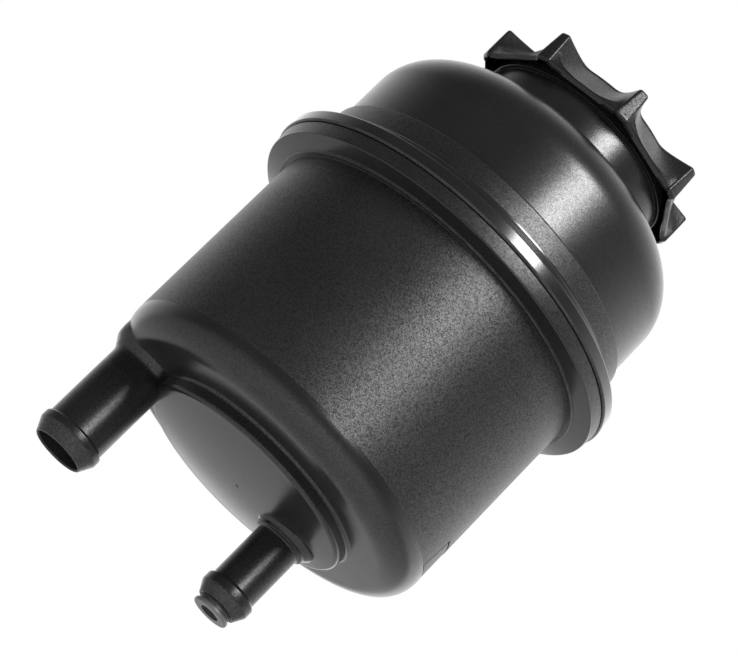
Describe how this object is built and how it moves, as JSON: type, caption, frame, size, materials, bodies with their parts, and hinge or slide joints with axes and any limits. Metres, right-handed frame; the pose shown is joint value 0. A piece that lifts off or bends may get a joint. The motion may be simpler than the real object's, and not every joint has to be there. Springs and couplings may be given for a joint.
{
  "type": "power steering reservoir",
  "caption": "Round black plastic fluid reservoir for hydraulic steering, with a domed top, star-grip screw cap, dipstick, inner screen filter and two hose nipples below.",
  "frame": {"origin": "on the reservoir's axis, where the bowl's cylindrical clamping wall meets the underside of the weld flange", "axes": "+Z along the axis towards the cap; the hose nipples point along -Z; +X runs from the suction nipple towards the return nipple"},
  "size_m": [0.115, 0.115, 0.1701],
  "materials": {
    "moulded_nylon": "fine spark-eroded grain with a soft sheen",
    "cap_nylon": "satin moulded",
    "seal_rubber": "matt",
    "breather_felt": "felted",
    "inner_plastic": "moulded",
    "screen_wire": "woven wire",
    "insert_plastic": "smooth moulded"
  },
  "bodies": {
    "reservoir": {"bowl": "moulded_nylon", "housing": "moulded_nylon", "filter_frame": "inner_plastic", "filter_screen": "screen_wire", "filter_cover": "inner_plastic", "filter_seal": "seal_rubber", "return_insert": "insert_plastic"},
    "seal": {"cap_seal": "seal_rubber"},
    "cap": {"cap": "cap_nylon", "cap_plug": "cap_nylon", "breather_disc": "breather_felt", "dipstick": "inner_plastic"}
  },
  "joints": [
    {"name": "cap_lift", "type": "slide", "parent": "reservoir", "child": "seal", "axis": [0, 0, 1], "range_m": [0, 0.085]},
    {"name": "cap_turn", "type": "hinge", "parent": "seal", "child": "cap", "pos_m": [0, 0, 0.0607], "axis": [0, 0, 1], "range_deg": [0, 540]}
  ]
}
